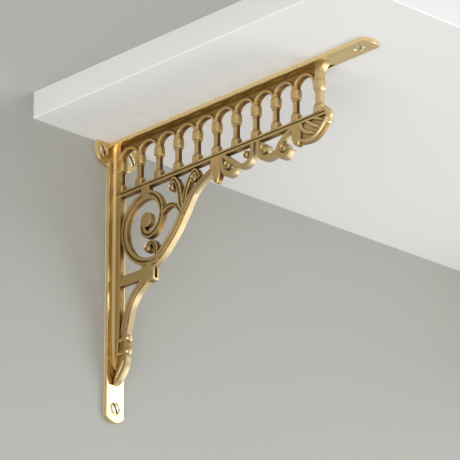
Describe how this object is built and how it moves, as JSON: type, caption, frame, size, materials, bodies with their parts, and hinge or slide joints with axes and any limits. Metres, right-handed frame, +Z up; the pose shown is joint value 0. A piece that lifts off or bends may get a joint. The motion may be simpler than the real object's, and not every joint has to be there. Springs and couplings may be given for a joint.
{
  "type": "wall shelf with brackets",
  "caption": "Plain white wall shelf board carried by two ornamental cast-brass scroll brackets with pierced arcades, screwed to the wall.",
  "frame": {"origin": "middle of the board's lower back edge, where the board's underside meets the wall", "axes": "+X along the wall to the right, +Y into the wall so the room is at -Y, +Z up"},
  "size_m": [0.6, 0.335, 0.223],
  "materials": {
    "board_paint": "satin white paint on a wooden board",
    "cast_brass": "cast, edges polished, brown patina in the recesses",
    "screw_brass": "polished",
    "plug_nylon": "plain moulded nylon"
  },
  "bodies": {
    "root": {"shelf_board": "board_paint", "left_bracket": "cast_brass", "right_bracket": "cast_brass", "left_shelf_screw": "screw_brass", "right_shelf_screw": "screw_brass", "left_outer_ear_screw": "screw_brass", "left_inner_ear_screw": "screw_brass", "left_foot_screw": "screw_brass", "right_outer_ear_screw": "screw_brass", "right_inner_ear_screw": "screw_brass", "right_foot_screw": "screw_brass", "left_outer_ear_plug": "plug_nylon", "left_inner_ear_plug": "plug_nylon", "left_foot_plug": "plug_nylon", "right_outer_ear_plug": "plug_nylon", "right_inner_ear_plug": "plug_nylon", "right_foot_plug": "plug_nylon"}
  },
  "joints": []
}
